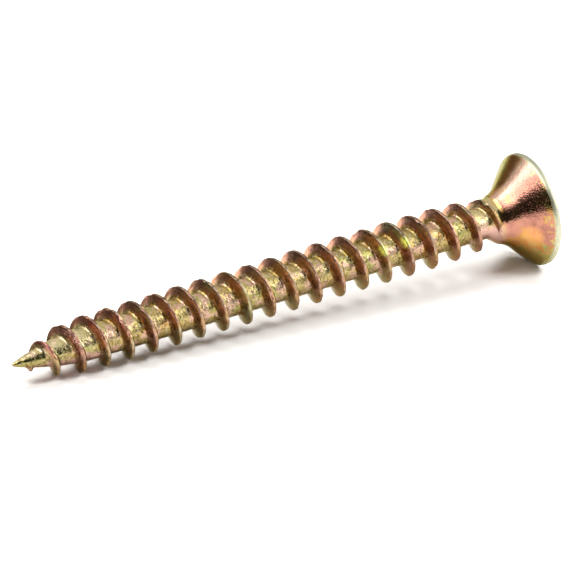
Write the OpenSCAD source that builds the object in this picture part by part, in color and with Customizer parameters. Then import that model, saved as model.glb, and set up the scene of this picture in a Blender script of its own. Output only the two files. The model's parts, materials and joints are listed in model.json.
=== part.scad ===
// A chipboard screw lying on its side, tip towards -X and head towards +X.
// It is one forged and rolled piece of steel: point, core, thread, neck, countersunk head and drive recess.
// It rests on the edge of its head and on one turn of the thread near the tip, with the floor at Z = 0.

/* [Length] */
// Whole length, from the tip to the flat of the head
screw_l = 50; // [36:1:70]
// Length of the curved point, up to where the core has its full size
point_l = 7.8; // [6:0.2:10]
// Diameter of the blunt nose of the point
nose_d = 0.24; // [0.16:0.02:0.4]

/* [Thread] */
// Outer diameter of the thread at its first full turn, near the point
thread_d_point = 4.62; // [4:0.02:6]
// Outer diameter of the thread at its last full turn, near the head
thread_d_head = 4.94; // [4:0.02:6]
// Diameter of the core near the point
core_d_point = 2.96; // [2.2:0.02:3.6]
// Diameter of the core near the head
core_d_head = 2.78; // [2.2:0.02:3.4]
// Distance along the screw from one turn to the next
pitch = 2.24; // [1.8:0.02:3]
// Width of the land on top of the thread
crest_w = 0.24; // [0.12:0.02:0.4]
// Angle between the two flanks of the thread
flank_angle = 40; // [30:1:50]
// Distance from the tip to where the thread leaves the core
thread_start_l = 1.1; // [0.6:0.1:2]
// Length in which the thread grows to its full height
lead_in_l = 2.8; // [2:0.1:5]
// Length of the neck and head past the end of the thread
plain_l = 3.85; // [3:0.05:6]
// Length in which the thread sinks into the neck
run_out_l = 9; // [4:0.5:12]
// Angle at which the last groove rises to the neck
groove_end_angle = 31; // [20:1:45]
// Height of the lip that the last turn leaves on the neck
lip_h = 0.08; // [0.04:0.01:0.12]
// Height of the small tooth that the rolling leaves where the thread begins
tooth_h = 0.25; // [0:0.05:0.3]
// Place of the first turn around the axis, in steps of a row of facets
thread_phase = 13; // [0:1:47]

/* [Head] */
// Diameter of the head over its rim
head_d = 9.7; // [8:0.1:12]
// Height of the rim, between the cone and the flat of the head
rim_h = 0.46; // [0.3:0.02:0.8]
// Radius of the rounded edge between the rim and the flat
rim_edge_r = 0.2; // [0.1:0.02:0.25]
// Full angle of the countersunk cone
cone_angle = 90; // [82:1:100]
// Diameter of the neck, which is that of the wire before the thread is rolled
neck_d = 3.9; // [3.6:0.05:4.2]
// Radius of the hollow between the neck and the cone
neck_hollow_r = 3.5; // [2:0.1:4]

/* [Drive recess] */
// Distance across the cross recess at the flat of the head
recess_across = 5.2; // [4.4:0.1:6]
// Width of one wing of the cross at the flat of the head
recess_wing_w = 1; // [0.8:0.05:1.2]
// Depth of the cross recess
recess_depth = 2.8; // [2:0.1:3.2]
// Size of the bottom of the cross, as a part of its size at the flat
recess_taper = 0.5; // [0.4:0.05:0.7]
// Width of a wing at the bottom, as a part of its width at the flat
wing_taper = 0.85; // [0.7:0.05:1]
// Diameter of the hollow in the middle of the cross, at the flat of the head
recess_core_d = 2.6; // [2:0.1:3]
// Depth of the small cone at the bottom of that hollow
recess_tip_h = 0.4; // [0.2:0.05:0.6]
// Distance across the thin marks between the wings
mark_across = 4.4; // [3.6:0.1:5]
// Width of a mark
mark_w = 0.32; // [0.2:0.02:0.5]
// Depth of a mark
mark_depth = 0.3; // [0.1:0.05:0.5]

/* [Hidden] */

// Rows of facets in one turn of the thread
rows = 48;
// Facets of a full circle where it is round
round_fn = 96;
// Steps of a fillet or a rounded edge
arc_steps = 6;

head_r = head_d / 2;
neck_r = neck_d / 2;
cone_half = cone_angle / 2;
// Heights along the screw, measured from the tip
rim_z = screw_l - rim_h;
thread_end_z = screw_l - plain_l;
groove_end_z = thread_end_z - 0.1;
// The shank ends a little inside the head's own solid
shank_top_z = thread_end_z + 0.1;
// The hollow touches the neck at hollow_z and then the cone
hollow_z = rim_z - (head_r - neck_r) / tan(cone_half) - neck_hollow_r * tan(cone_half / 2);

// How far from a to b the value v lies, kept between 0 and 1
function part(v, a, b) = min(1, max(0, (v - a) / (b - a)));
function mix(a, b, f) = a + (b - a) * f;

// The point is an arc that starts at the nose and runs on into the core without a corner
point_rise = core_d_point / 2 - nose_d / 2;
point_arc_r = (point_l * point_l + point_rise * point_rise) / (2 * point_rise);
function point_r(z) =
    nose_d / 2 + point_rise - point_arc_r + sqrt(pow(point_arc_r, 2) - pow(point_l - z, 2));
// The core grows or shrinks evenly from the point to the neck
function shank_r(z) = mix(core_d_point, core_d_head, part(z, point_l, groove_end_z)) / 2;
// The neck is a plain round, and then flares in the hollow below the cone, as far up as the shank goes.
// The rolled length lies a little lower than the rest of it
neck_step = 0.03;
function neck_surface_r(z) =
    let (rise = max(0, min(z, shank_top_z) - hollow_z))
    neck_r - neck_step + neck_hollow_r - sqrt(pow(neck_hollow_r, 2) - pow(rise, 2));
// The bottom of the groove: the core, and from there up to the neck
function core_r(z) =
    z < point_l
        ? point_r(max(0, z))
        : max(shank_r(z), neck_surface_r(z) - max(0, groove_end_z - z) * tan(groove_end_angle));

// Outer radius of the thread: it grows out of the point, and sinks to a lip on the neck
full_z = thread_start_l + lead_in_l;
run_out_z = groove_end_z - run_out_l;
lip_fade_l = 0.3;
// The tooth stands on the first rows of the thread
tooth_z = thread_start_l + 0.33;
tooth_half = 0.14;
function tooth(z) = tooth_h * max(0, 1 - pow((z - tooth_z) / tooth_half, 2));
function full_depth(z) = mix(thread_d_point, thread_d_head, part(z, full_z, run_out_z)) / 2 - shank_r(z);
function crest_r(z) =
    z < run_out_z
        ? core_r(z) + full_depth(z) * part(z, thread_start_l, full_z) + tooth(z)
        : max(
            mix(thread_d_head / 2, neck_r, pow(part(z, run_out_z, groove_end_z), 3)),
            neck_surface_r(z) + lip_h * (1 - part(z, thread_end_z - lip_fade_l, thread_end_z))
        );
// Past its last turn the thread has no groove. This goes from 0 to 1 where the groove is closed by the neck
function closed(z) = part(z, thread_end_z - 0.8 * pitch, thread_end_z - 0.42 * pitch);
function floor_r(row, z) = mix(core_r(z), neck_surface_r(z), closed(row));

// Half the width of the thread at its crest, smaller where the thread begins
start_width = 0.5;
function width_part(z) = mix(start_width, 1, part(z, thread_start_l, full_z));
function crest_half(z) = crest_w / 2 * width_part(z);
// Half the width at its foot, on the tip's side where side is -1 and on the head's side where it is 1
foot_reach = 0.4;
function flank_depth(z, side) =
    z < run_out_z
        ? full_depth(z)
        : max(0, crest_r(z) - (side < 0 ? core_r(z - foot_reach) : floor_r(z, z + foot_reach)));
function foot_half(z, side) = (crest_w / 2 + flank_depth(z, side) * tan(flank_angle / 2)) * width_part(z);

// The shank is a ladder of rows, one for each step around the axis. A row has five points: the foot and
// the crest on the tip's side, the crest and the foot on the head's side, and the middle of the groove
first_row = -rows;
last_row = ceil((shank_top_z / pitch + 1) * rows) + rows;
steps = 5;
function row_z(t) = t * pitch / rows;
function point_z(t, j) =
    let (z = row_z(t))
    j == 0 ? z - foot_half(z, -1) :
    j == 1 ? z - crest_half(z) :
    j == 2 ? z + crest_half(z) :
    j == 3 ? z + foot_half(z, 1) : z + pitch / 2;
function row_point_r(t, j) =
    j == 0 ? core_r(point_z(t, j)) :
    j < 3 ? crest_r(row_z(t)) : floor_r(row_z(t), point_z(t, j));
function column(t) = (t % rows + rows) % rows;
function around(t, r, z) =
    let (a = (t + thread_phase) * 360 / rows)
    [r * cos(a), r * sin(a), z];

shank_points = concat(
    [for (i = [0 : rows - 1]) around(i, core_r(0), 0)],
    [for (i = [0 : rows - 1]) around(i, neck_surface_r(shank_top_z), shank_top_z)],
    [for (t = [first_row : last_row], j = [0 : steps - 1]) around(t, row_point_r(t, j), point_z(t, j))]
);
// Points below the nose or above the shank's top are drawn together on the ring there
function point_id(t, j) =
    point_z(t, j) <= 0 ? column(t) :
    point_z(t, j) >= shank_top_z ? rows + column(t) : 2 * rows + (t - first_row) * steps + j;
function whole(f) = f[0] != f[1] && f[1] != f[2] && f[2] != f[0];
function two_facets(a, b, c, d) = [for (f = [[a, b, c], [a, c, d]]) if (whole(f)) f];

flank_facets = [
    for (t = [first_row : last_row - 1], j = [0 : steps - 2])
        each two_facets(point_id(t, j), point_id(t, j + 1), point_id(t + 1, j + 1), point_id(t + 1, j))
];
root_facets = [
    for (t = [first_row : last_row - 1 - rows])
        each two_facets(
            point_id(t, steps - 1), point_id(t + rows, 0),
            point_id(t + rows + 1, 0), point_id(t + 1, steps - 1)
        )
];
nose_facet = [for (i = [0 : rows - 1]) i];
top_facet = [for (i = [0 : rows - 1]) 2 * rows - 1 - i];

// The screw lies on the lower edge of its rim and on the turn that it tips down to
function turn_slope(n) = (head_r - crest_r(n * pitch)) / (rim_z - n * pitch + crest_half(n * pitch));
phase_turn = -thread_phase / rows;
tilt = atan(min([for (n = [1 : floor(run_out_z / pitch)]) turn_slope(n + phase_turn)]));
lift = head_r * cos(tilt) - rim_z * sin(tilt);
reach = (screw_l - rim_edge_r) * cos(tilt) + (head_r - rim_edge_r) * sin(tilt) + rim_edge_r;
nose_reach = nose_d / 2 * sin(tilt);

steel = [0.74, 0.64, 0.38];

// Points of an arc around c, from angle a to angle b
function arc(c, r, a, b) =
    [for (i = [0 : arc_steps]) let (w = mix(a, b, i / arc_steps)) [c[0] + r * cos(w), c[1] + r * sin(w)]];

hollow_start_angle = 180 - asin((thread_end_z - hollow_z) / neck_hollow_r);

module head_outline() {
    polygon(concat(
        [[0, thread_end_z]],
        arc([neck_r + neck_hollow_r, hollow_z], neck_hollow_r, hollow_start_angle, 180 - cone_half),
        [[head_r, rim_z]],
        arc([head_r - rim_edge_r, screw_l - rim_edge_r], rim_edge_r, 0, 90),
        [[0, screw_l]]
    ));
}

// What is cut from the flat starts this far above it, grown so that its size is right at the flat
over = 0.2;
function above_flat(size, bottom_part, depth) = size * (1 + over / depth * (1 - bottom_part));

// A pair of opposite wings or marks. The last two values are what is left of its size at the bottom
module wing_pair(across, w, depth, across_part, w_part) {
    top = [above_flat(across, across_part, depth), above_flat(w, w_part, depth)];
    bottom_scale = [across * across_part / top[0], w * w_part / top[1]];
    linear_extrude(height = depth + over, scale = bottom_scale, slices = 1)
        square(top, center = true);
}

module drive_recess() {
    translate([0, 0, screw_l + over]) mirror([0, 0, 1]) {
        for (a = [0, 90])
            rotate(a) wing_pair(recess_across, recess_wing_w, recess_depth, recess_taper, wing_taper);
        for (a = [45, 135])
            rotate(a) wing_pair(mark_across, mark_w, mark_depth, 0.9, 0.4);
        cylinder(
            h = recess_depth + over,
            d1 = above_flat(recess_core_d, recess_taper, recess_depth),
            d2 = recess_core_d * recess_taper,
            $fn = round_fn
        );
        translate([0, 0, recess_depth + over])
            cylinder(h = recess_tip_h, d1 = recess_core_d * recess_taper, d2 = 0, $fn = round_fn);
    }
}

module head() {
    difference() {
        rotate_extrude($fn = round_fn) head_outline();
        drive_recess();
    }
}

module threaded_shank() {
    polyhedron(
        points = shank_points,
        faces = concat([nose_facet], [top_facet], flank_facets, root_facets),
        convexity = 12
    );
}

module screw() {
    color(steel)
        translate([(nose_reach - reach) / 2, 0, lift])
            rotate([0, 90 - tilt, 0]) {
                threaded_shank();
                head();
            }
}

screw();
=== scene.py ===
import json
import math

import bpy
import numpy as np
from mathutils import Matrix, Vector, noise


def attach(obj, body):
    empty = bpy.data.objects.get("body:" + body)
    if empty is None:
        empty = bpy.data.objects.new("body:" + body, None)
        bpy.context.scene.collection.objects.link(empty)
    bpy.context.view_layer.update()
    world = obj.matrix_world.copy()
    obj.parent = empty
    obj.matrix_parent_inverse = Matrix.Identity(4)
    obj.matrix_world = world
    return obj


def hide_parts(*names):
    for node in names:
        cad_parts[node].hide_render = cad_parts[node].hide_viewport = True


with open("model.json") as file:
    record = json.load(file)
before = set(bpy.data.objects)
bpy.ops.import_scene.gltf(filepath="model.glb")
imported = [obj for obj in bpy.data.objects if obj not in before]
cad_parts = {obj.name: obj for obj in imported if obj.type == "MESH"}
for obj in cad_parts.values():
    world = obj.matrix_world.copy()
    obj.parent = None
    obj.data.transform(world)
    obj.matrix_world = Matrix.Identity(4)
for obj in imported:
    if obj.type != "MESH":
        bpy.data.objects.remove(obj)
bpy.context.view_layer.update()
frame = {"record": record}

# The screw has its own frame, in millimetres: z goes from the tip to the flat of the head, x down, y across
MM = 0.001
mounts = {mount["name"]: mount for mount in frame["record"]["mounts"]}
AXIS = Vector(mounts["drive_recess"]["axis"]).normalized()
HEAD_CENTRE = Vector(mounts["drive_recess"]["pos_m"])
HEAD_R = mounts["countersunk_seat"]["dims"]["r_mm"]
THREAD_R = mounts["thread"]["dims"]["r_mm"]
RECESS_R = mounts["drive_recess"]["dims"]["r_mm"]
RECESS_DEPTH = mounts["drive_recess"]["dims"]["length_mm"]

# Length and point
SCREW_L = 50.0
POINT_L = 7.8
NOSE_R = 0.12
NOSE_Z = 0.07
NOSE_RINGS = ((0.118, 0.03), (0.08, 0.008), (0.04, 0.001))

# Thread
THREAD_R_POINT = 2.31
CORE_R_POINT = 1.48
CORE_R_HEAD = 1.39
PITCH = 2.24
CREST_HALF = 0.12
FLANK_SLOPE = math.tan(math.radians(20))
FOOT_REACH = 0.4
THREAD_START = 1.1
LEAD_IN = 2.8
RUN_OUT = 9.0
PLAIN_L = 3.85
START_WIDTH = 0.5
START_TURN = 97.5 / 360
GROOVE_END_L = 0.1
GROOVE_END_SLOPE = math.tan(math.radians(31))
GROOVE_CLOSES = 0.8 * PITCH
GROOVE_CLOSED = 0.42 * PITCH
LIP_H = 0.08
LIP_FADE = 0.3
LIP_HOLLOW = 0.03
TOOTH_H = 0.25
TOOTH_Z = THREAD_START + 0.33
TOOTH_HALF = 0.16
TOOTH_WIDTH = 0.25

# Softness of the rolled thread
CREST_ROUNDING = 0.14
ROOT_ROUNDING = 0.4

# Unevenness of the core: its waves, up to which height on the thread, from which z, and from which radius
CORE_UNEVEN = 0.016
CORE_WAVES = 2.6
CORE_RIPPLES = 6.1
UNEVEN_HEIGHT = 0.6
UNEVEN_Z = (1, 3)
UNEVEN_R = 0.1

# Wear of the crest: a rub in long and short waves, and nicks some rows wide
CREST_WEAR = 0.05
LONG_RUB = 0.045
SHORT_RUB = 0.21
NICKS = 170
NICK_DEPTH = 0.09
NICK_HALF_ROWS = (1.2, 3.2)
NICK_SHARES = (0.3, 1)
NICK_SEED = 5
POINT_WEAR = 1.7
POINT_WEAR_Z = 14

# Head and neck
NECK_R = 1.95
NECK_STEP = 0.03
NECK_START = 0.05
NECK_STEPS = 10
NECK_HOLLOW_R = 3.5
CONE_ANGLE = 45
CONE_ENDS = (0.15, 0.12)
CONE_STEPS = 12
RIM_H = 0.46
RIM_CORNER = ((0.05, -0.02), (0.012, 0.06))
RIM_EDGE_R = 0.2
RIM_STEPS = 6
FLAT_RINGS = (4.4, 4.0, 3.5)

# Drive recess: a cross with thin marks between its wings
WING_HALF = 0.5
WING_TAPER = 0.85
WING_STEPS = 0.75
WING_END_STEPS = 0.25
RECESS_TAPER = 0.5
RECESS_CORE_R = 1.3
RECESS_TIP_H = 0.4
RECESS_EDGE = 0.04
WALL_DEPTHS = (0.015, 0.15, 0.3, 0.5, 0.7, 0.85, 0.97)
BOTTOM_SIZE = 0.96
BOTTOM_STEP = 0.01
MARK_RIM_R = 3.1
MARK_END = 0.47
MARK_RINGS = (0.6, 0.5, MARK_END, 0.25, 0)
MARK_DEPTH = 0.3

# Where they come along the screw
RIM_Z = SCREW_L - RIM_H
THREAD_END_Z = SCREW_L - PLAIN_L
GROOVE_END_Z = THREAD_END_Z - GROOVE_END_L
HOLLOW_Z = RIM_Z - (HEAD_R - NECK_R) - NECK_HOLLOW_R * math.tan(math.radians(CONE_ANGLE / 2))
FULL_Z = THREAD_START + LEAD_IN
RUN_OUT_Z = GROOVE_END_Z - RUN_OUT
LIP_HOLLOW_Z = (RUN_OUT_Z + 3, THREAD_END_Z - 1)

# Points of the mesh: rows in a turn, and steps across root, flank and land, with how much they crowd
TURN_ROWS = 96
ROOT_STEPS = 6
ROOT_CROWDING = 1.6
FLANK_STEPS = 7
LAND_STEPS = 3
LAND_CROWDING = 1.3

# Corners of a face, in rows and steps from its first, and the angle past which an edge isn't smoothed
QUAD = ((0, 0), (1, 0), (1, 1), (0, 1))
CREASE_ANGLE = 55

# Where on the way across the side of the crest starts to count, and how soon it counts fully
SIDE_START = 0.7
SIDE_GROWTH = 0.6

# The flat sheet: a cell for each turn of the thread and for the nose, and a strip for neck, head and recess
SHEET_COLUMNS = 3
SHEET_LINES = 8
SHEET_MARGIN = 0.02
SHEET_HEAD = 0.7
NOSE_CELL = SHEET_COLUMNS * SHEET_LINES - 1
FIRST_BAND = 0.1
LEAST_BAND = 0.05


def share(v, a, b):
    """How far from a to b the value v lies, kept between 0 and 1."""
    return np.clip((v - a) / (b - a), 0, 1)


def mix(a, b, f):
    """The value that lies a share f of the way from a to b."""
    return a + (b - a) * f


def point_r(z):
    """The point is an arc that starts at the nose and runs on into the core without a corner."""
    rise = CORE_R_POINT - NOSE_R
    arc_r = (POINT_L ** 2 + rise ** 2) / (2 * rise)
    return CORE_R_POINT - arc_r + np.sqrt(arc_r ** 2 - (POINT_L - np.clip(z, 0, POINT_L)) ** 2)


def shank_r(z):
    """The core is a little thinner towards the head."""
    return mix(CORE_R_POINT, CORE_R_HEAD, share(z, POINT_L, GROOVE_END_Z))


def neck_r(z):
    """The round neck, which flares in the hollow below the cone."""
    rise = np.clip(z, HOLLOW_Z, THREAD_END_Z) - HOLLOW_Z
    return NECK_R - NECK_STEP + NECK_HOLLOW_R - np.sqrt(NECK_HOLLOW_R ** 2 - rise ** 2)


def core_r(z):
    """The bottom of the groove, which rises to the neck where the thread ends."""
    groove_end = neck_r(z) - np.maximum(GROOVE_END_Z - z, 0) * GROOVE_END_SLOPE
    return np.where(z < POINT_L, point_r(z), np.maximum(shank_r(z), groove_end))


def full_depth(z):
    return mix(THREAD_R_POINT, THREAD_R, share(z, FULL_Z, RUN_OUT_Z)) - shank_r(z)


def tooth(z):
    """The small tooth where the thread begins: 1 in its middle, and 0 off it."""
    return np.maximum(1 - ((z - TOOTH_Z) / TOOTH_HALF) ** 2, 0)


def crest_r(z):
    """The thread grows out of the point, and sinks to a lip on the neck."""
    growing = core_r(z) + full_depth(z) * share(z, THREAD_START, FULL_Z) + TOOTH_H * tooth(z)
    lip = neck_r(z) + LIP_H * (1 - share(z, THREAD_END_Z - LIP_FADE, THREAD_END_Z))
    sinking = np.maximum(mix(THREAD_R, NECK_R, share(z, RUN_OUT_Z, GROOVE_END_Z) ** 3), lip)
    return np.where(z < RUN_OUT_Z, growing, sinking)


def floor_r(row_z, z):
    """The bottom of the groove that follows a row: past the last turn the neck closes it."""
    closed = share(row_z, THREAD_END_Z - GROOVE_CLOSES, THREAD_END_Z - GROOVE_CLOSED)
    return mix(core_r(z), neck_r(z), closed)


def soft_min(a, b, width):
    """The lesser of a and b, with the corner between them rounded over the width."""
    near = np.clip(1 - np.abs(a - b) / width, 0, 1)
    return np.minimum(a, b) - width * near ** 2 / 4


def steps_across():
    """Places from root to crest, and on to the next root: 0 to 1 is root, 1 to 2 flank, 2 to 3 land."""
    root = 1 - (1 - np.linspace(0, 1, ROOT_STEPS + 1)[:-1]) ** ROOT_CROWDING
    flank = 1 + (1 - np.cos(np.linspace(0, math.pi, FLANK_STEPS + 1)[:-1])) / 2
    land = 3 - (1 - np.linspace(0, 1, LAND_STEPS + 1)) ** LAND_CROWDING
    half = np.concatenate([root, flank, land])
    return half, np.concatenate([half, half[-2::-1]])


def reach_across(across, foot, crest_half):
    """How far from the middle of the crest each step lies, in one row for each foot."""
    return np.stack([np.interp(across, [0, 1, 2, 3], [PITCH / 2, foot_end, crest_end, 0])
                     for foot_end, crest_end in zip(foot, crest_half)])


def crest_wear(row):
    """How much each row of the crest has lost: an uneven rub all along, and single nicks."""
    rub = np.array([noise.noise(Vector((at * LONG_RUB, 3.1, 0)))
                    + 0.6 * noise.noise(Vector((at * SHORT_RUB, 7.7, 0))) for at in row])
    lost = CREST_WEAR * np.clip(rub + 0.2, 0, 1)
    dice = np.random.default_rng(NICK_SEED)
    middles = dice.uniform(row[0], row[-1], NICKS)
    halves = dice.uniform(*NICK_HALF_ROWS, NICKS)
    depths = dice.uniform(*NICK_SHARES, NICKS)
    for middle, half, depth in zip(middles, halves, depths):
        wear = mix(POINT_WEAR, 1, share(middle * PITCH / TURN_ROWS, POINT_WEAR_Z / 2, POINT_WEAR_Z))
        lost += NICK_DEPTH * wear * depth * np.maximum(1 - ((row - middle) / half) ** 2, 0)
    return lost


def shank_grid():
    """Rows of the shank, one for each step around the axis. Each row crosses one pitch of the thread.

    Gives the rows' numbers, and for each point z, radius, height on the thread, and side of the crest:
    -1 on the flank that faces the point of the screw, 1 on the flank that faces its head.
    """
    half, across = steps_across()
    to_head = np.arange(len(across)) >= len(half)
    row = np.arange(-TURN_ROWS, math.ceil((THREAD_END_Z / PITCH + 1) * TURN_ROWS) + 1)
    row_z = row * PITCH / TURN_ROWS

    width = mix(START_WIDTH, 1, share(row_z, THREAD_START, FULL_Z)) + TOOTH_WIDTH * tooth(row_z)
    crest_half = CREST_HALF * width
    top = crest_r(row_z)
    whole = full_depth(row_z)
    sinking = row_z > RUN_OUT_Z
    depth_tip = np.where(sinking, np.maximum(top - core_r(row_z - FOOT_REACH), 0), whole)
    depth_head = np.where(sinking, np.maximum(top - floor_r(row_z, row_z + FOOT_REACH), 0), whole)
    reach_tip = reach_across(across, (CREST_HALF + depth_tip * FLANK_SLOPE) * width, crest_half)
    reach_head = reach_across(across, (CREST_HALF + depth_head * FLANK_SLOPE) * width, crest_half)
    worn_top = (top - crest_wear(row))[:, None]

    # From here on each row's value is a column, so that it meets every step across
    row_z, width, crest_half, top, whole, depth_tip, depth_head = (
        values[:, None] for values in (row_z, width, crest_half, top, whole, depth_tip, depth_head))
    offset = np.where(to_head, reach_head, -reach_tip)
    z = row_z + offset
    floor = np.where(to_head, floor_r(row_z, z), floor_r(row_z - PITCH, z))
    foot_half = np.where(to_head, depth_head, depth_tip) * FLANK_SLOPE * width
    slope = (foot_half + crest_half - np.abs(offset)) / np.maximum(foot_half, 0.01)
    rise = slope * np.maximum(top - floor, 0)
    depth = np.maximum(worn_top - floor, 0)
    grown = np.clip(depth / whole, 0.05, 1)
    rise = soft_min(rise, depth, CREST_ROUNDING * grown)
    rise = -soft_min(-rise, 0, ROOT_ROUNDING * grown)
    near_middle = 1 - np.clip(np.abs(offset) / crest_half, 0, 1) ** 2
    rise -= LIP_HOLLOW * near_middle * share(row_z, *LIP_HOLLOW_Z)
    height = np.clip(rise / whole, 0, 1)
    strength = np.clip(np.minimum((across - SIDE_START) / SIDE_GROWTH, 3 - across), 0, 1)
    side = np.where(to_head, 1, -1) * strength
    return row, z, floor + np.maximum(rise, 0), height, np.broadcast_to(side, z.shape)


def uneven(points, height):
    """The hammered unevenness of the core, which only goes inwards, and fades out at the point."""
    low = np.zeros(len(points))
    for k in np.flatnonzero(height < UNEVEN_HEIGHT):
        place = Vector(points[k])
        ripples = noise.noise(place * CORE_RIPPLES + Vector((9, 0, 0)))
        low[k] = CORE_UNEVEN * (1 - height[k]) * (1 + (noise.noise(place * CORE_WAVES) + 0.7 * ripples))
    return low * share(points[:, 2], *UNEVEN_Z)


def ring(r, z):
    """Local points of one ring, at the angles of the shank's rows."""
    angle = (np.arange(TURN_ROWS) / TURN_ROWS + START_TURN) * math.tau
    return np.stack([r * np.cos(angle), r * np.sin(angle), np.full(TURN_ROWS, z)], 1)


def arc(centre, r, start, end, steps):
    """Radius and height of the points of an arc, with the angles in degrees."""
    angles = np.radians(np.linspace(start, end, steps + 1))
    return [(centre[0] + r * math.cos(a), centre[1] + r * math.sin(a)) for a in angles]


def head_section():
    """Radius and height along the neck, the cone, the rim and the flat, as far as the marks."""
    start = 180 - math.degrees(math.asin((THREAD_END_Z + NECK_START - HOLLOW_Z) / NECK_HOLLOW_R))
    section = arc((NECK_R + NECK_HOLLOW_R, HOLLOW_Z), NECK_HOLLOW_R, start, 180 - CONE_ANGLE, NECK_STEPS)
    cone = np.linspace(section[-1][1] + CONE_ENDS[0], RIM_Z - CONE_ENDS[1], CONE_STEPS)
    section += [(HEAD_R - (RIM_Z - z), z) for z in cone]
    section += [(HEAD_R - inwards, RIM_Z + up) for inwards, up in RIM_CORNER]
    section += arc((HEAD_R - RIM_EDGE_R, SCREW_L - RIM_EDGE_R), RIM_EDGE_R, 0, 90, RIM_STEPS)
    return section + [(r, SCREW_L) for r in (*FLAT_RINGS, MARK_RIM_R)]


def recess_outline(deep, grow=0.0):
    """Local points of the cross at a share of its depth, one for each step around the axis."""
    reach = RECESS_R * mix(1, RECESS_TAPER, deep) + grow
    half = WING_HALF * mix(1, WING_TAPER, deep) + grow
    hollow = RECESS_CORE_R * mix(1, RECESS_TAPER, deep) + grow
    step = np.arange(TURN_ROWS) / TURN_ROWS * 4
    quarter = np.floor(step)
    from_middle = (step - quarter) * 2 - 1
    off = np.abs(from_middle)
    corner = math.asin(half / hollow)
    angle = mix(corner, math.pi / 4, share(off, WING_STEPS, 1))
    along_wing = mix(reach, hollow * math.cos(corner), share(off, WING_END_STEPS, WING_STEPS))
    across_wing = half * share(off, 0, WING_END_STEPS)
    on_wing = off < WING_STEPS
    x = np.where(on_wing, along_wing, hollow * np.cos(angle))
    y = np.where(on_wing, across_wing, hollow * np.sin(angle)) * np.sign(from_middle)
    turn = quarter * math.pi / 2
    points = np.stack([x * np.cos(turn) - y * np.sin(turn), x * np.sin(turn) + y * np.cos(turn),
                       np.full(TURN_ROWS, SCREW_L - RECESS_DEPTH * deep)], 1)
    # The outline starts between two wings, at 7/8 of a turn, and a ring starts at START_TURN
    return np.roll(points, -round((START_TURN - 7 / 8) * TURN_ROWS), 0)


def recess_rings():
    """The flat with its four marks, then the walls and the bottom of the cross."""
    quarter = TURN_ROWS // 4
    marks = np.arange(TURN_ROWS) % quarter == round((1 / 8 - START_TURN) * TURN_ROWS) % quarter
    edge = recess_outline(0, RECESS_EDGE)
    rings = []
    for outwards in MARK_RINGS:
        flat = mix(edge, ring(MARK_RIM_R, SCREW_L), outwards)
        if outwards <= MARK_END:
            flat[marks, 2] -= MARK_DEPTH
        rings.append(flat)
    for deep in WALL_DEPTHS:
        wall = recess_outline(deep)
        wall[marks, 2] = np.minimum(wall[marks, 2], SCREW_L - MARK_DEPTH)
        rings.append(wall)
    bottom = recess_outline(1) * [BOTTOM_SIZE, BOTTOM_SIZE, 1]
    rings.append(bottom)
    inner = bottom * RECESS_CORE_R * RECESS_TAPER / np.linalg.norm(bottom[:, :2], axis=1)[:, None]
    for size, down in ((1, RECESS_DEPTH + BOTTOM_STEP), (0.5, RECESS_DEPTH + RECESS_TIP_H / 2)):
        rings.append(np.column_stack([inner[:, :2] * size, np.full(TURN_ROWS, SCREW_L - down)]))
    return rings


class Skin:
    """Points and faces of the mesh, with the place of each face's corners on the flat sheet."""

    def __init__(self):
        self.points, self.faces, self.sheet, self.count = [], [], [], 0

    def add_points(self, points):
        """Takes the points in, and gives their numbers."""
        self.points.append(points)
        self.count += len(points)
        return np.arange(self.count - len(points), self.count)

    def add_face(self, corners, spots):
        """Adds a face without the corners that repeat. One with fewer than three corners is left out."""
        kept = [(c, s) for k, (c, s) in enumerate(zip(corners, spots)) if c != corners[k - 1]]
        if len({c for c, _ in kept}) == len(kept) > 2:
            self.faces.append([int(c) for c, _ in kept])
            self.sheet += [s for _, s in kept]

    def band(self, low, high, u, v):
        """Faces between two rings, between u and between v on the sheet. High may be a single point."""
        for k in range(TURN_ROWS):
            n = (k + 1) % TURN_ROWS
            left, right = mix(*u, k / TURN_ROWS), mix(*u, (k + 1) / TURN_ROWS)
            if len(high) == 1:
                spots = [(left, v[0]), (right, v[0]), ((left + right) / 2, v[1])]
                self.add_face([low[k], low[n], high[0]], spots)
            else:
                spots = [(left, v[0]), (right, v[0]), (right, v[1]), (left, v[1])]
                self.add_face([low[k], low[n], high[n], high[k]], spots)

    def strip(self, before, rings, start, end):
        """Joins rings to the points before them. On the sheet they fill the space between two corners."""
        steps = [np.linalg.norm(b[:1] - a[:1]) for a, b in zip(rings, rings[1:])]
        steps = [FIRST_BAND] + [max(step, LEAST_BAND) for step in steps]
        lines = mix(start[1], end[1], np.concatenate([[0], np.cumsum(steps)]) / sum(steps))
        for ring_points, v_low, v_high in zip(rings, lines, lines[1:]):
            after = self.add_points(ring_points)
            self.band(before, after, (start[0], end[0]), (v_low, v_high))
            before = after


def cell_spot(cell, along, across):
    """The place on the flat sheet of a point in one of its cells."""
    column, line = cell % SHEET_COLUMNS, cell // SHEET_COLUMNS
    return ((column + mix(SHEET_MARGIN, 1 - SHEET_MARGIN, along)) / SHEET_COLUMNS,
            (line + mix(SHEET_MARGIN, 1 - SHEET_MARGIN, across)) / SHEET_LINES * SHEET_HEAD)


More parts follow.
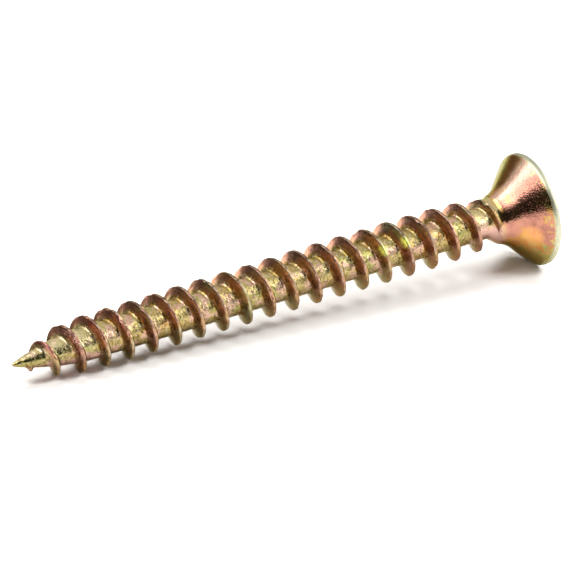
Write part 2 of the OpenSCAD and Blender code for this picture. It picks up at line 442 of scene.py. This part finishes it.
def add_shank(skin, nose, neck):
    """Adds the core and thread between nose and neck. Gives the points' numbers, heights and sides."""
    row, z, r, height, side = shank_grid()
    rows, steps = len(row), z.shape[1] - 1
    angle = (row[:, None] / TURN_ROWS + START_TURN) * math.tau
    points = np.stack([r * np.cos(angle), r * np.sin(angle), z], 2)
    height, side = height[:, :steps].ravel(), side[:, :steps].ravel()
    skin_points = points[:, :steps].reshape(-1, 3)
    from_axis = np.maximum(np.linalg.norm(skin_points[:, :2], axis=1), UNEVEN_R)
    skin_points[:, :2] *= (1 - uneven(skin_points, height) / from_axis)[:, None]

    # The last step of a row is the first step of the row one turn on, and past the ends it is nose or neck
    numbers = skin.add_points(skin_points)
    grid = np.column_stack([numbers.reshape(rows, steps), np.full(rows, -1)])
    grid[:-TURN_ROWS, steps] = grid[TURN_ROWS:, 0]
    column = (row % TURN_ROWS)[:, None]
    grid = np.where(z <= NOSE_Z, nose[column], np.where(z >= THREAD_END_Z, neck[column], grid))

    # On the flat sheet the steps lie as they do along the section of a turn in the middle of the thread
    step_lengths = np.linalg.norm(np.diff(points[rows // 2], axis=0), axis=1)
    along_section = np.concatenate([[0], np.cumsum(step_lengths)])
    along_section /= along_section[-1]
    for i in range(rows - 1):
        turn, along = divmod(i, TURN_ROWS)
        for j in range(steps):
            spots = [cell_spot(turn, (along + a) / TURN_ROWS, along_section[j + b]) for a, b in QUAD]
            skin.add_face([grid[i + a, j + b] for a, b in QUAD], spots)
    return numbers, height, side


def build_screw():
    """Local points, their height on the thread and side of the crest, the faces, and the sheet's places."""
    skin = Skin()
    nose = skin.add_points(ring(core_r(NOSE_Z), NOSE_Z))
    neck = skin.add_points(ring(neck_r(THREAD_END_Z), THREAD_END_Z))
    shank, height, side = add_shank(skin, nose, neck)
    recess_tip = np.array([[0, 0, SCREW_L - RECESS_DEPTH - RECESS_TIP_H]])
    head = [ring(*place) for place in head_section()] + recess_rings() + [recess_tip]
    skin.strip(neck, head, (0.01, SHEET_HEAD + 0.01), (0.99, 0.99))
    cap = [ring(*place)[::-1] for place in NOSE_RINGS] + [np.zeros((1, 3))]
    skin.strip(nose[::-1], cap, cell_spot(NOSE_CELL, 0, 0.1), cell_spot(NOSE_CELL, 1, 0.9))

    points = np.concatenate(skin.points)
    on_thread = np.zeros((len(points), 2))
    on_thread[shank] = np.column_stack([height, side])
    used = np.unique(np.concatenate(skin.faces))
    new_number = np.full(len(points), -1)
    new_number[used] = np.arange(len(used))
    return points[used], on_thread[used], [new_number[face].tolist() for face in skin.faces], skin.sheet


def to_world(local):
    """Carries local points into the shared frame, in metres."""
    across = Vector((0, 1, 0))
    down = across.cross(AXIS)
    turn = np.array([down, across, AXIS]).T
    return np.array(HEAD_CENTRE) + (local - [0, 0, SCREW_L]) @ turn.T * MM


def make_screw():
    points, on_thread, faces, sheet = build_screw()
    mesh = bpy.data.meshes.new("plated_screw")
    mesh.from_pydata(to_world(points).tolist(), [], faces)
    mesh.uv_layers.new(name="OFBake").data.foreach_set("uv", np.array(sheet, dtype=float).ravel())
    for name, kind, field, values in (("place", "FLOAT_VECTOR", "vector", points),
                                      ("height", "FLOAT", "value", on_thread[:, 0]),
                                      ("side", "FLOAT", "value", on_thread[:, 1])):
        attribute = mesh.attributes.new(name, kind, "POINT")
        attribute.data.foreach_set(field, np.ascontiguousarray(values, dtype=float).ravel())
    mesh.set_sharp_from_angle(angle=math.radians(CREASE_ANGLE))
    mesh.materials.append(yellow_zinc_plating())
    screw = bpy.data.objects.new("plated_screw", mesh)
    bpy.context.scene.collection.objects.link(screw)
    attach(screw, "root")
    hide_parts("screw")


class Shade:
    """A number at each point of a surface. Arithmetic on it adds Math nodes to its finish."""

    def __init__(self, finish, socket):
        self.finish, self.socket = finish, socket

    def __add__(self, other):
        return self.finish.math("ADD", self, other)

    def __radd__(self, other):
        return self.finish.math("ADD", other, self)

    def __sub__(self, other):
        return self.finish.math("SUBTRACT", self, other)

    def __rsub__(self, other):
        return self.finish.math("SUBTRACT", other, self)

    def __mul__(self, other):
        return self.finish.math("MULTIPLY", self, other)

    def __rmul__(self, other):
        return self.finish.math("MULTIPLY", other, self)

    def __truediv__(self, other):
        return self.finish.math("DIVIDE", self, other)

    def __rtruediv__(self, other):
        return self.finish.math("DIVIDE", other, self)


class Finish:
    """The nodes of one material, or of the world."""

    def __init__(self, owner):
        owner.use_nodes = True
        self.tree = owner.node_tree
        self.tree.nodes.clear()

    def add(self, kind, settings=None, inputs=None, output=0):
        """Adds a node with its settings, then its sockets' values or links. Gives one of its outputs."""
        node = self.tree.nodes.new(kind)
        for key, value in (settings or {}).items():
            if key == "stops":
                ramp = node.color_ramp
                while len(ramp.elements) < len(value):
                    ramp.elements.new(0.5)
                for element, (position, colour) in zip(ramp.elements, value):
                    element.position, element.color = position, colour
            else:
                setattr(node, key, value)
        for key, value in (inputs or {}).items():
            if isinstance(value, Shade):
                self.tree.links.new(value.socket, node.inputs[key])
            else:
                node.inputs[key].default_value = value
        return Shade(self, node.outputs[output]) if node.outputs else None

    def math(self, operation, *values):
        return self.add("ShaderNodeMath", {"operation": operation}, dict(enumerate(values)))

    def smooth(self, value, low, high):
        """0 before low, 1 past high, and a smooth change between them. Low may be the larger."""
        return self.add("ShaderNodeMapRange", {"interpolation_type": "SMOOTHSTEP"},
                        {"Value": value, "From Min": low, "From Max": high})

    def noise(self, place, scale, detail=1.0, roughness=0.5):
        return self.add("ShaderNodeTexNoise", None,
                        {"Vector": place, "Scale": scale, "Detail": detail, "Roughness": roughness})

    def cover(self, tone, colour, factor):
        """The tone, going over to a colour as the factor goes from 0 to 1."""
        return self.add("ShaderNodeMix", {"data_type": "RGBA"}, {0: factor, 6: tone, 7: colour}, 2)

    def shade(self, tone, colour, factor):
        """The tone, multiplied by a colour as the factor goes from 0 to 1."""
        return self.add("ShaderNodeMix", {"data_type": "RGBA", "blend_type": "MULTIPLY"},
                        {0: factor, 6: tone, 7: colour}, 2)

    def round_patch(self, place, centre, reach):
        """1 near the centre of a round patch, and 0 past its edge."""
        away = self.add("ShaderNodeVectorMath", {"operation": "DISTANCE"}, {0: place, 1: centre}, "Value")
        return self.smooth(away, reach, reach * 0.4)

    def seen_rays(self):
        """1 for rays that show a thing itself, straight, mirrored or through glass, before they scatter."""
        straight, mirrored, through, scattered = (
            self.add("ShaderNodeLightPath", None, None, kind)
            for kind in ("Is Camera Ray", "Is Glossy Ray", "Is Transmission Ray", "Diffuse Depth"))
        shown = self.math("MAXIMUM", self.math("MAXIMUM", straight, mirrored), through)
        return shown * self.math("LESS_THAN", scattered, 0.5)


def rgb(red, green, blue):
    return (red, green, blue, 1)


# Colours of the film as it gets thicker
FILM_COLOURS = (
    (0.00, rgb(0.52, 0.53, 0.34)), (0.14, rgb(0.37, 0.38, 0.13)), (0.32, rgb(0.53, 0.42, 0.18)),
    (0.48, rgb(0.58, 0.30, 0.08)), (0.62, rgb(0.52, 0.24, 0.17)), (0.84, rgb(0.38, 0.16, 0.12)),
    (1.00, rgb(0.28, 0.29, 0.13)))
# Centre and reach of an orange patch of the film, and of two painted green glints on flanks
ORANGE_SPOT = ((0.9, -3.2, 48.1), 1.3)
GREEN_GLINTS = (((-1.3, -1.98, 34.3), 0.7), ((-1.34, -1.85, 36.5), 0.7))
# Tones of dirt, crest nicks with painted shade, and bare metal, the metal's edge tint, and its relief in
# metres
DIRT = rgb(0.05, 0.04, 0.018)
SCRATCH_DIRT = rgb(0.07, 0.05, 0.045)
CREST_DIRT_AND_SHADE = rgb(0.07, 0.045, 0.035)
WORN_METAL = rgb(0.54, 0.46, 0.32)
EDGE_TINT = rgb(0.8, 0.78, 0.55)
RELIEF_DEPTH = 0.00005


class Places:
    """Where a point of the surface lies on the screw, and masks from 0 to 1 for the screw's own parts."""

    def __init__(self, plating):
        smooth = plating.smooth
        self.place = plating.add("ShaderNodeAttribute", {"attribute_name": "place"}, None, "Vector")
        self.height = plating.add("ShaderNodeAttribute", {"attribute_name": "height"}, None, "Fac")
        self.side = plating.add("ShaderNodeAttribute", {"attribute_name": "side"}, None, "Fac")
        self.x, self.y, self.z = (plating.add("ShaderNodeSeparateXYZ", None, {"Vector": self.place}, axis)
                                  for axis in "XYZ")
        self.radius = plating.math("SQRT", self.x * self.x + self.y * self.y)
        # How far down and how far across the surface faces, from -1 to 1
        self.down = self.x / self.radius
        self.across = self.y / self.radius

        self.flank = smooth(self.height, 0.12, 0.5)
        self.land = smooth(self.height, 0.9, 0.99)
        self.core = (1 - self.flank) * (1 - smooth(self.z, 44.5, 46.5))
        self.near_point = smooth(self.z, 13, 6)
        self.head = smooth(self.z, 45.7, 46.6)
        self.recess = smooth(self.radius - 0.9 * (self.z - 47), 1.75, 1.6) * smooth(self.radius, 2.9, 2.7)
        self.rim = plating.math("MAXIMUM", smooth(self.z, 49.35, 49.55), self.recess)
        self.flat = smooth(self.z, 49.85, 49.95) + self.recess
        self.cone = self.head * (1 - self.rim)
        self.underside = self.cone * smooth(self.down, 0.25, 0.85)
        self.orange_spot = plating.round_patch(self.place, *ORANGE_SPOT)


class Mottle:
    """The uneven fields that the film, the dirt, the wear and the relief share."""

    def __init__(self, plating, on):
        self.wide = plating.noise(on.place, 0.4, 2.0) - 0.5
        self.patch = plating.noise(on.place, 1.3, 3.0, 0.6) - 0.5
        self.speck = plating.noise(on.place, 6.0, 2.0, 0.7) - 0.5
        self.grain = plating.noise(on.place, 5.5, 1.5, 0.6)
        self.nicks = plating.noise(on.place, 2.4, 3.0, 0.7)
        around = plating.add("ShaderNodeCombineXYZ", None,
                             {"X": on.radius * 14, "Y": on.x * 0.5, "Z": on.y * 0.5 + on.z})
        self.scratches = plating.noise(around, 1.0, 2.0, 0.6)


def film_thickness(plating, on, mottle):
    """How thick the film is, as a place on its ramp of colours."""
    smooth = plating.smooth
    by_turn = plating.noise(plating.add("ShaderNodeCombineXYZ", None, {"X": on.z}), 0.31) - 0.5
    golden = plating.math("MAXIMUM", smooth(on.y, 0, 0.9) * smooth(on.x, -1.6, -0.8),
                          smooth(on.side, 0.1, 0.4))
    near_head = smooth(on.z, 24, 38)
    low_side = smooth(on.x, -1.6, 1.6)
    far_side = on.cone * smooth(on.across, 0.1, 0.65)
    green = smooth(plating.noise(on.place, 2.2, 3.0, 0.65), 0.54, 0.6) * smooth(on.z, 48.0, 49.2)
    flank_film = 0.41 - 0.3 * golden + by_turn * 1.1 + 0.12 * near_head - 0.33 * low_side * (1 - golden)
    head_film = 0.37 - 0.5 * far_side - 0.3 * on.underside
    film = 0.27 + on.flank * flank_film + on.head * head_film
    film = film - on.rim * 0.6 - on.orange_spot * 0.1 - green * 0.3
    return film + (mottle.wide * 0.8 + mottle.patch * 0.6) * (1 - 0.35 * on.core) + mottle.speck * 0.2


def film_colour(plating, on, mottle):
    """The film's colour by its thickness, patches of its own colour, and painted highlights, glints and a
    dark reflection.
    """
    smooth = plating.smooth
    lip = smooth(on.z, 44.6, 45.3)
    shoulder_highlight = smooth(on.side, 0.2, -0.2) * smooth(on.y, 0.1, 1.6) * smooth(on.x, -0.2, -1.1)
    top_highlight = smooth(on.across, 0.25, 0.05) * smooth(on.across, -0.5, -0.2) * smooth(on.x, 0, -1)
    glints = [plating.round_patch(on.place, *glint) for glint in GREEN_GLINTS]
    tone = plating.add("ShaderNodeValToRGB", {"stops": FILM_COLOURS},
                       {"Fac": film_thickness(plating, on, mottle)})
    for factor, colour in (
            (on.flank * 0.36, rgb(0.40, 0.32, 0.24)),
            # A painted dark reflection on the flanks by the lip at the end of the thread
            (on.flank * lip * 0.8, rgb(0.15, 0.16, 0.07)),
            (on.flank * on.near_point * smooth(on.x, 0.2, -1.0) * 0.5, rgb(0.60, 0.22, 0.20)),
            # A painted salmon highlight on the upper far shoulders of the flanks that face the point
            (on.flank * shoulder_highlight * 0.85, rgb(0.90, 0.47, 0.36)),
            (on.orange_spot * 0.6, rgb(0.90, 0.42, 0.13)),
            # A painted pale rose highlight along the top of the cone
            (on.cone * top_highlight * 0.4, rgb(0.78, 0.62, 0.48)),
            (on.rim * 0.8, rgb(0.60, 0.60, 0.46)),
            (on.flat * smooth(mottle.wide, -0.02, 0.12) * 0.45, rgb(0.62, 0.48, 0.34)),
            # Two painted green glints on flanks
            ((glints[0] + glints[1]) * 0.85, rgb(0.82, 1.0, 0.26))):
        tone = plating.cover(tone, colour, factor)
    return tone


def painted_shade_and_tints(plating, on, tone):
    """Painted shade in the roots, below, under the cone and on its far side, and on the rim; browner tints
    of fillet and core.
    """
    smooth = plating.smooth
    root = smooth(on.height, 0.005, 0.06) * smooth(on.height, 0.85, 0.3)
    fillet = smooth(on.height, 0.0, 0.03) * smooth(on.height, 0.3, 0.12)
    turned_away = smooth(on.across, -0.08, 0.1) * (1 - 0.3 * smooth(on.across, 0.25, 0.5))
    # All painted shade, except the tints of the fillet and the core, which are their own colour
    for factor, colour in (
            (root * smooth(on.y, 0.6, -0.8), rgb(0.64, 0.58, 0.54)),
            (fillet, rgb(0.92, 0.70, 0.44)),
            (on.core, rgb(0.84, 0.79, 0.68)),
            (smooth(on.x, -0.2, 1.0) * (1 - on.head), rgb(0.62, 0.52, 0.50)),
            (on.underside, rgb(0.74, 0.60, 0.42)),
            (on.cone * turned_away, rgb(0.66, 0.60, 0.43)),
            (on.cone * smooth(on.across, 0.68, 0.85), rgb(0.24, 0.22, 0.16)),
            (on.rim * smooth(on.x, 1.5, 4.5), rgb(0.55, 0.50, 0.42)),
            (on.rim * smooth(on.x, -3.3, -4.6), rgb(0.68, 0.66, 0.68))):
        tone = plating.shade(tone, colour, factor)
    return tone


def core_patches(plating, on, tone):
    """Pale and pink patches on the core, paler on its upper side as painted highlight, and painted
    highlights near its ends.
    """
    smooth = plating.smooth
    pale = smooth(plating.noise(on.place, 3.6, 2.0, 0.6), 0.46, 0.62) * on.core
    pink = smooth(plating.noise(on.place, 1.1, 2.0), 0.52, 0.62) * on.core
    pink_point = smooth(on.x, 0.1, 0.9) * smooth(on.z, 10, 7)
    pink_neck = smooth(on.z, 43.6, 44.4) * 1.4 * smooth(on.x, -0.6, 0.3) * (1 - on.head)
    ends = (smooth(on.z, 9, 6) + smooth(on.z, 43.5, 44.5)) * on.core * smooth(on.x, 0.1, -0.9)
    for factor, colour in (
            # Pale patches of the film, laid on more thickly on the upper side as painted highlight
            (pale * (0.25 + 0.3 * smooth(on.x, 0.6, -0.8)), rgb(0.62, 0.52, 0.34)),
            ((pink + pink_point + pink_neck) * 0.65 * (1 - on.flank), rgb(0.66, 0.40, 0.33)),
            # Painted highlights on the upper side of the core near the point and the neck
            (ends * 0.4, rgb(0.78, 0.68, 0.40))):
        tone = plating.cover(tone, colour, factor)
    return tone


def dirt_in(plating, on, mottle):
    """Dark pits all over, and dark specks and fine cracks in the core."""
    smooth = plating.smooth
    pitted = on.core * 0.35 + on.flank * (0.3 + 0.4 * on.near_point) + 0.15 * on.head
    pits = smooth(plating.noise(on.place, 3.1, 2.0, 0.6), 0.57, 0.66) * pitted
    specks = smooth(mottle.speck, 0.08, 0.18) * on.core * 0.45
    waves = plating.add("ShaderNodeTexNoise", None,
                        {"Vector": on.place, "Scale": 2.5, "Detail": 3.0}, "Color")
    bent = plating.add("ShaderNodeVectorMath", {"operation": "MULTIPLY_ADD"},
                       {0: waves, 1: (0.7, 0.7, 0.7), 2: on.place})
    edges = plating.add("ShaderNodeTexVoronoi", {"feature": "DISTANCE_TO_EDGE"},
                        {"Vector": bent, "Scale": 1.6, "Randomness": 1.0}, "Distance")
    cracks = (1 - smooth(edges, 0.0, 0.04)) * smooth(mottle.patch, -0.02, 0.08) * on.core * 0.8
    return plating.math("MAXIMUM", pits + specks, cracks)


def worn_thread(plating, on, mottle, tone):
    """Dark scratches on the upper flanks, and crests with dark nicks, darker on top as painted shade, worn
    bright in places.
    """
    smooth = plating.smooth
    marks = plating.math("MAXIMUM", smooth(mottle.scratches, 0.54, 0.66), smooth(mottle.nicks, 0.52, 0.62))
    marks = marks * on.flank * smooth(on.height, 0.45, 0.8) * smooth(on.x, -0.6, -1.6)
    top_side = smooth(on.x, -1.3, -2.1)
    # Dark nicks on the crests, made far darker on their upper side as painted shade
    dark = on.land * (0.12 + 0.88 * top_side) * smooth(mottle.nicks, 0.58, 0.48)
    worn = on.land * smooth(mottle.nicks, 0.50, 0.60)
    tone = plating.cover(tone, SCRATCH_DIRT, marks * 0.7)
    tone = plating.cover(tone, CREST_DIRT_AND_SHADE, dark * 0.9)
    return plating.cover(tone, WORN_METAL, worn * (0.75 - 0.3 * top_side))


def surface_relief(plating, on, mottle, dirt):
    """Grain all over, dents in the core, beads on the head, and scratches round the flanks."""
    rough_core = on.core * (1 - 0.6 * plating.smooth(on.z, 43, 45))
    dents = plating.noise(on.place, 2.0) * rough_core
    beads = plating.noise(on.place, 11.0) + plating.smooth(plating.noise(on.place, 9.5), 0.58, 0.75)
    relief = mottle.grain * (0.15 + 0.3 * rough_core) + dents * 0.9 + beads * 0.1 * on.head
    relief = relief + mottle.scratches * on.flank * 0.3 + mottle.grain * on.land * 0.5 - dirt * 0.4
    return plating.add("ShaderNodeBump", None,
                       {"Strength": 1.0, "Distance": RELIEF_DEPTH, "Height": relief})


def yellow_zinc_plating():
    """Zinc with a yellow film, whose colour goes from green-gold to pink and maroon with its thickness."""
    material = bpy.data.materials.new("yellow_zinc_plating")
    plating = Finish(material)
    on = Places(plating)
    mottle = Mottle(plating, on)
    dirt = dirt_in(plating, on, mottle)
    tone = film_colour(plating, on, mottle)
    tone = painted_shade_and_tints(plating, on, tone)
    tone = core_patches(plating, on, tone)
    tone = plating.cover(tone, DIRT, dirt)
    tone = worn_thread(plating, on, mottle, tone)
    roughness = (0.13 + 0.08 * on.core + 0.06 * on.flank + 0.18 * on.land + 0.26 * on.rim - 0.14 * on.flat
                 + 0.12 * (mottle.grain - 0.5) + dirt * 0.2)
    surface = plating.add("ShaderNodeBsdfPrincipled", None, {
        "Base Color": tone, "Metallic": 1.0, "Specular Tint": EDGE_TINT, "Roughness": roughness,
        "Normal": surface_relief(plating, on, mottle, dirt)})
    plating.add("ShaderNodeOutputMaterial", None, {"Surface": surface})
    return material


# The studio: sizes and distances in metres, angles in degrees
FLOOR_HALF = 1.5
PAPER = rgb(0.86, 0.86, 0.86)
PAPER_SHOWN = rgb(2.1, 2.0895, 2.0685)
ROOM_LIGHT = 0.06
ROOM_COLOUR = rgb(1, 0.72, 0.54)
CLOTH_R = 0.42
CLOTH_COLUMNS = 49
CLOTH_LINES = 5
FLOOR_CLOTH_R = 0.014
FLOOR_CLOTH_Z = 0.0004
LAMP_R = 0.5

# The camera: where it looks, from how far, and with which lens and sensor in millimetres
LOOK_DOWN = 22.93
HEADING = 59.47
ROLL = 0.5
CAMERA_DISTANCE = 0.8078
AIM_HEIGHT = 0.004
AIM_RIGHT = 0.000934
AIM_DOWN = 0.000781
LENS = 610.6
SENSOR = 36


def direction(azimuth, elevation):
    """The way from the screw to a place at an angle round it and above the floor."""
    a, e = math.radians(azimuth), math.radians(elevation)
    return Vector((math.cos(e) * math.cos(a), math.cos(e) * math.sin(a), math.sin(e)))


def matt_material(name, colour, shown=None):
    """A matt material, which may show another colour than the one that it scatters into the room."""
    material = bpy.data.materials.new(name)
    finish = Finish(material)
    tone = finish.cover(colour, shown, finish.seen_rays()) if shown else colour
    surface = finish.add("ShaderNodeBsdfDiffuse", None, {"Color": tone})
    finish.add("ShaderNodeOutputMaterial", None, {"Surface": surface})
    return material


def stage_piece(name, points, columns, material):
    """A sheet of points in lines of so many columns, which belongs to the studio."""
    faces = [(k, k + 1, k + columns + 1, k + columns)
             for k in range(len(points) - columns) if (k + 1) % columns]
    mesh = bpy.data.meshes.new(name)
    mesh.from_pydata(points, [], faces)
    mesh.materials.append(material)
    piece = bpy.data.objects.new(name, mesh)
    bpy.context.scene.collection.objects.link(piece)
    return piece


def make_floor():
    """Paper that shows white where the studio lights it fully, and keeps the screw's shadow."""
    corners = [(-FLOOR_HALF, -FLOOR_HALF, 0), (FLOOR_HALF, -FLOOR_HALF, 0),
               (-FLOOR_HALF, FLOOR_HALF, 0), (FLOOR_HALF, FLOOR_HALF, 0)]
    stage_piece("floor", corners, 2, matt_material("white_paper", PAPER, PAPER_SHOWN))


def hung_cloth(name, azimuths, low, top, cloth):
    """Cloth that hangs on a sphere round the screw, between two elevations at each azimuth."""
    turn = np.linspace(azimuths[0], azimuths[-1], CLOTH_COLUMNS)
    low, top = np.interp(turn, azimuths, low), np.interp(turn, azimuths, top)
    points = [direction(a, e) * CLOTH_R for f in np.linspace(0, 1, CLOTH_LINES)
              for a, e in zip(turn, mix(low, top, f))]
    return stage_piece(name, points, CLOTH_COLUMNS, cloth)


def floor_cloth(name, azimuths, cloth):
    """Cloth that lies on the paper, from beside the screw out to the hung cloth."""
    points = [direction(a, 0) * r + Vector((0, 0, FLOOR_CLOTH_Z)) for r in (FLOOR_CLOTH_R, CLOTH_R)
              for a in azimuths]
    return stage_piece(name, points, len(azimuths), cloth)


def make_cloths():
    """Cloth round the camera's side and behind the point. The metal mirrors it, and no camera sees it."""
    dark = matt_material("dark_cloth", rgb(0.055, 0.066, 0.04))
    dim = matt_material("dim_cloth", rgb(0.44, 0.38, 0.34))
    brown = matt_material("brown_cloth", rgb(0.26, 0.22, 0.17))
    for piece in (
            hung_cloth("dark_cloth", (166, 180, 200, 225, 240, 262, 280, 292), (-3,) * 8,
                       (30, 34, 38, 42, 50, 66, 66, 20), dark),
            hung_cloth("dim_cloth", (82, 88, 119, 121, 137), (2, 2, 2, -3, -3), (10, 24, 28, 28, 28), dim),
            hung_cloth("brown_cloth", (137, 166), (-3, -3), (28, 30), brown),
            floor_cloth("dim_floor_cloth", (121, 129, 137), dim),
            floor_cloth("brown_floor_cloth", (137, 145, 153, 166), brown)):
        piece.visible_camera = False
        piece.visible_shadow = False
        piece.visible_diffuse = False


def make_world():
    """A dim warm room that lights the screw, and shows white wherever it is seen itself."""
    world = bpy.data.worlds.new("studio")
    bpy.context.scene.world = world
    studio = Finish(world)
    room = studio.add("ShaderNodeBackground", None, {"Color": ROOM_COLOUR, "Strength": ROOM_LIGHT})
    shown = studio.add("ShaderNodeBackground", None, {"Color": rgb(1, 1, 1), "Strength": 1.0})
    surface = studio.add("ShaderNodeMixShader", None, {0: studio.seen_rays(), 1: room, 2: shown})
    studio.add("ShaderNodeOutputWorld", None, {"Surface": surface})


def make_camera():
    """The camera stands where the photo's outline of the screw puts it."""
    forward = direction(HEADING, -LOOK_DOWN)
    level = forward.cross(Vector((0, 0, 1))).normalized()
    steep = forward.cross(level)
    roll = math.radians(ROLL)
    right = level * math.cos(roll) + steep * math.sin(roll)
    down = forward.cross(right)
    aim = Vector((0, 0, AIM_HEIGHT)) + right * AIM_RIGHT + down * AIM_DOWN
    data = bpy.data.cameras.new("camera")
    data.sensor_width = SENSOR
    data.lens = LENS
    camera = bpy.data.objects.new("camera", data)
    bpy.context.scene.collection.objects.link(camera)
    turn = Matrix((right, -down, -forward)).transposed().to_4x4()
    camera.matrix_world = Matrix.Translation(aim - forward * CAMERA_DISTANCE) @ turn
    bpy.context.scene.camera = camera


def lamp(name, azimuth, elevation, width, height, brightness):
    """A soft lamp at an angle round the screw and above the floor, turned to it."""
    data = bpy.data.lights.new(name, "AREA")
    data.shape = "RECTANGLE"
    data.size, data.size_y = width, height
    data.energy = math.pi * width * height * brightness
    light = bpy.data.objects.new(name, data)
    bpy.context.scene.collection.objects.link(light)
    towards = direction(azimuth, elevation)
    light.location = towards * LAMP_R
    light.rotation_euler = towards.to_track_quat("Z", "Y").to_euler()
    light.visible_camera = False
    return light


def make_lamps():
    """Two wide softboxes that the metal mirrors, and five lamps that light the paper and cast shadows."""
    for placing in (("left_softbox", 165, 58, 0.5, 0.42, 2.8), ("right_softbox", -20, 34, 0.7, 0.44, 2.1)):
        lamp(*placing).visible_diffuse = False
    for placing in (("right_lamp", -45, 48, 0.17, 0.17, 8.2), ("front_lamp", -120, 12, 0.3, 0.2, 2),
                    ("back_lamp", 28, 30, 0.18, 0.16, 5.6), ("left_lamp", 190, 58, 0.25, 0.25, 2.2),
                    ("top_lamp", 75, 66, 0.21, 0.21, 5)):
        lamp(*placing).visible_glossy = False


make_screw()
make_camera()
make_floor()
make_cloths()
make_world()
make_lamps()
bpy.context.scene.view_settings.view_transform = "Standard"
